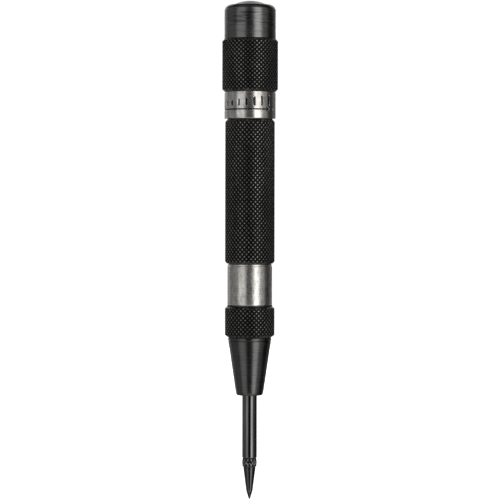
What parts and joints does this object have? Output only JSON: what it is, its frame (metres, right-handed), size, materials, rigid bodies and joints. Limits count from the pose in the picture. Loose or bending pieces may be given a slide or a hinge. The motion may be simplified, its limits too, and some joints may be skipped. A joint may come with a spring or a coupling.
{
  "type": "automatic centre punch",
  "caption": "Spring-loaded automatic centre punch: knurled barrel, sliding plunger with a screw-in point, and a screw-down cap that sets the force of the blow.",
  "frame": {"origin": "the tip of the point, on the tool's axis", "axes": "+Z along the tool's axis from the tip to the cap's end; +X is the side that the trigger slides out to, seen at the right when the view is along +Y"},
  "size_m": [0.0142, 0.0142, 0.128],
  "materials": {
    "black_oxide": "black oxide over knurled and turned steel, satin",
    "black_oxide_rod": "black oxide over ground steel, glossy",
    "bright_steel": "turned bright steel, faintly stained",
    "hardened_steel": "hardened and ground, oiled",
    "spring_steel": "oil-tempered wire",
    "button_steel": "domed, grey, semi-gloss"
  },
  "bodies": {
    "handle": {"barrel": "black_oxide", "nose_cone": "black_oxide", "return_spring": "spring_steel"},
    "plunger_unit": {"plunger": "black_oxide_rod", "plunger_collar": "hardened_steel", "trip_pin": "hardened_steel", "punch_point": "black_oxide_rod"},
    "hammer_unit": {"hammer": "hardened_steel", "trigger_spring": "spring_steel"},
    "trigger_unit": {"trigger": "hardened_steel"},
    "seat_unit": {"spring_seat": "bright_steel", "main_spring": "spring_steel"},
    "cap_unit": {"adjusting_cap": "black_oxide", "cap_end_plug": "button_steel"}
  },
  "joints": [
    {"name": "plunger_travel", "type": "slide", "parent": "handle", "child": "plunger_unit", "axis": [0, 0, 1], "range_m": [0, 0.012], "stiffness_N_per_m": 350, "springref_m": -0.008, "deforming": ["return_spring"]},
    {"name": "hammer_lift", "type": "slide", "parent": "handle", "child": "hammer_unit", "axis": [0, 0, 1], "range_m": [0, 0.012], "stiffness_N_per_m": 4000, "springref_m": -0.003, "deforming": ["main_spring"]},
    {"name": "trigger_shift", "type": "slide", "parent": "hammer_unit", "child": "trigger_unit", "axis": [-1, 0, 0], "range_m": [0, 0.0008], "stiffness_N_per_m": 200, "springref_m": -0.0003, "deforming": ["trigger_spring"]},
    {"name": "cap_advance", "type": "slide", "parent": "handle", "child": "seat_unit", "axis": [0, 0, 1], "range_m": [0, 0.004]},
    {"name": "cap_turn", "type": "hinge", "parent": "seat_unit", "child": "cap_unit", "pos_m": [0, 0, 0.11], "axis": [0, 0, 1], "range_deg": [0, 1440]}
  ],
  "couplings": [
    {"joint": "hammer_lift", "follows": "plunger_travel", "ratio": 1},
    {"joint": "trigger_shift", "follows": "plunger_travel", "ratio": 0.0666},
    {"joint": "cap_turn", "follows": "cap_advance", "rad_per_m": 6283}
  ]
}
